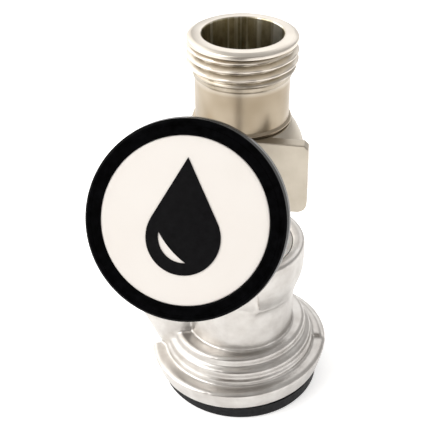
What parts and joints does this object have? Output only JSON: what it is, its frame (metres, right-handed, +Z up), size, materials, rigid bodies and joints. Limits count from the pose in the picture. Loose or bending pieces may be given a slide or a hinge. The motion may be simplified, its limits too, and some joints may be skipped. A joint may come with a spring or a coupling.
{
  "type": "keg coupler",
  "caption": "Keg coupler: bayonet body with a side gas inlet, a sliding probe with a threaded outlet, and a hinged lever with a round knob that pushes the probe down.",
  "frame": {"origin": "centre of the rubber seal's bottom face, where the coupler sits on the keg neck", "axes": "+Z up along the probe and the outlet; the lever and knob lean towards -Y; the gas inlet arm rises towards -X"},
  "size_m": [0.0576, 0.0883, 0.0995],
  "materials": {
    "cast_stainless": "bead-blasted cast stainless steel, satin",
    "machined_stainless": "turned stainless steel with fine lathe lines, semi-bright",
    "head_stainless": "fine-machined stainless steel, matte with a warm cast",
    "lever_stainless": "cast stainless steel, tumbled satin",
    "pin_steel": "ground stainless pin, bright",
    "spring_steel": "stamped spring steel",
    "seal_rubber": "moulded black rubber, matte",
    "o_ring_rubber": "black nitrile rubber",
    "valve_rubber": "grey silicone rubber",
    "acetal": "natural acetal, moulded",
    "washer_fibre": "white sealing washer",
    "brass": "turned brass",
    "knob_black": "polished black moulded plastic",
    "face_white": "glossy warm-white inlay",
    "emblem_black": "printed black pictogram",
    "ball_steel": "polished stainless ball"
  },
  "bodies": {
    "body": {"coupler_body": "cast_stainless", "body_seal": "seal_rubber", "guide_bush": "acetal", "bush_o_rings": "o_ring_rubber", "lever_pivot_pin": "pin_steel", "pivot_pin_clips": "spring_steel", "hinge_friction_washers": "spring_steel", "gas_inlet_nipple": "machined_stainless", "inlet_washer": "washer_fibre", "gas_check_valve": "valve_rubber", "check_valve_retainer": "acetal"},
    "probe": {"outlet_fitting": "machined_stainless", "probe_head": "head_stainless", "probe_stem": "machined_stainless", "probe_tip": "machined_stainless", "probe_seal": "seal_rubber", "ball_cage": "acetal", "cage_retaining_ring": "spring_steel"},
    "ball": {"check_ball": "ball_steel"},
    "lever": {"lever_arm": "lever_stainless", "drive_pin": "pin_steel", "drive_pin_clips": "spring_steel", "lever_stud": "pin_steel", "knob_locknut": "machined_stainless", "knob_body": "knob_black", "knob_insert": "brass", "knob_ring": "knob_black", "knob_face": "face_white", "knob_emblem": "emblem_black"}
  },
  "joints": [
    {"name": "lever_hinge", "type": "hinge", "parent": "body", "child": "lever", "pos_m": [0, -0.0125, 0.042], "axis": [1, 0, 0], "range_deg": [0, 66]},
    {"name": "probe_slide", "type": "slide", "parent": "body", "child": "probe", "axis": [0, 0, -1], "range_m": [0, 0.0098]},
    {"name": "ball_lift", "type": "slide", "parent": "probe", "child": "ball", "axis": [0, 0, 1], "range_m": [0, 0.003]}
  ],
  "couplings": [
    {"joint": "probe_slide", "follows": "lever_hinge", "m_per_rad": 0.008511}
  ]
}
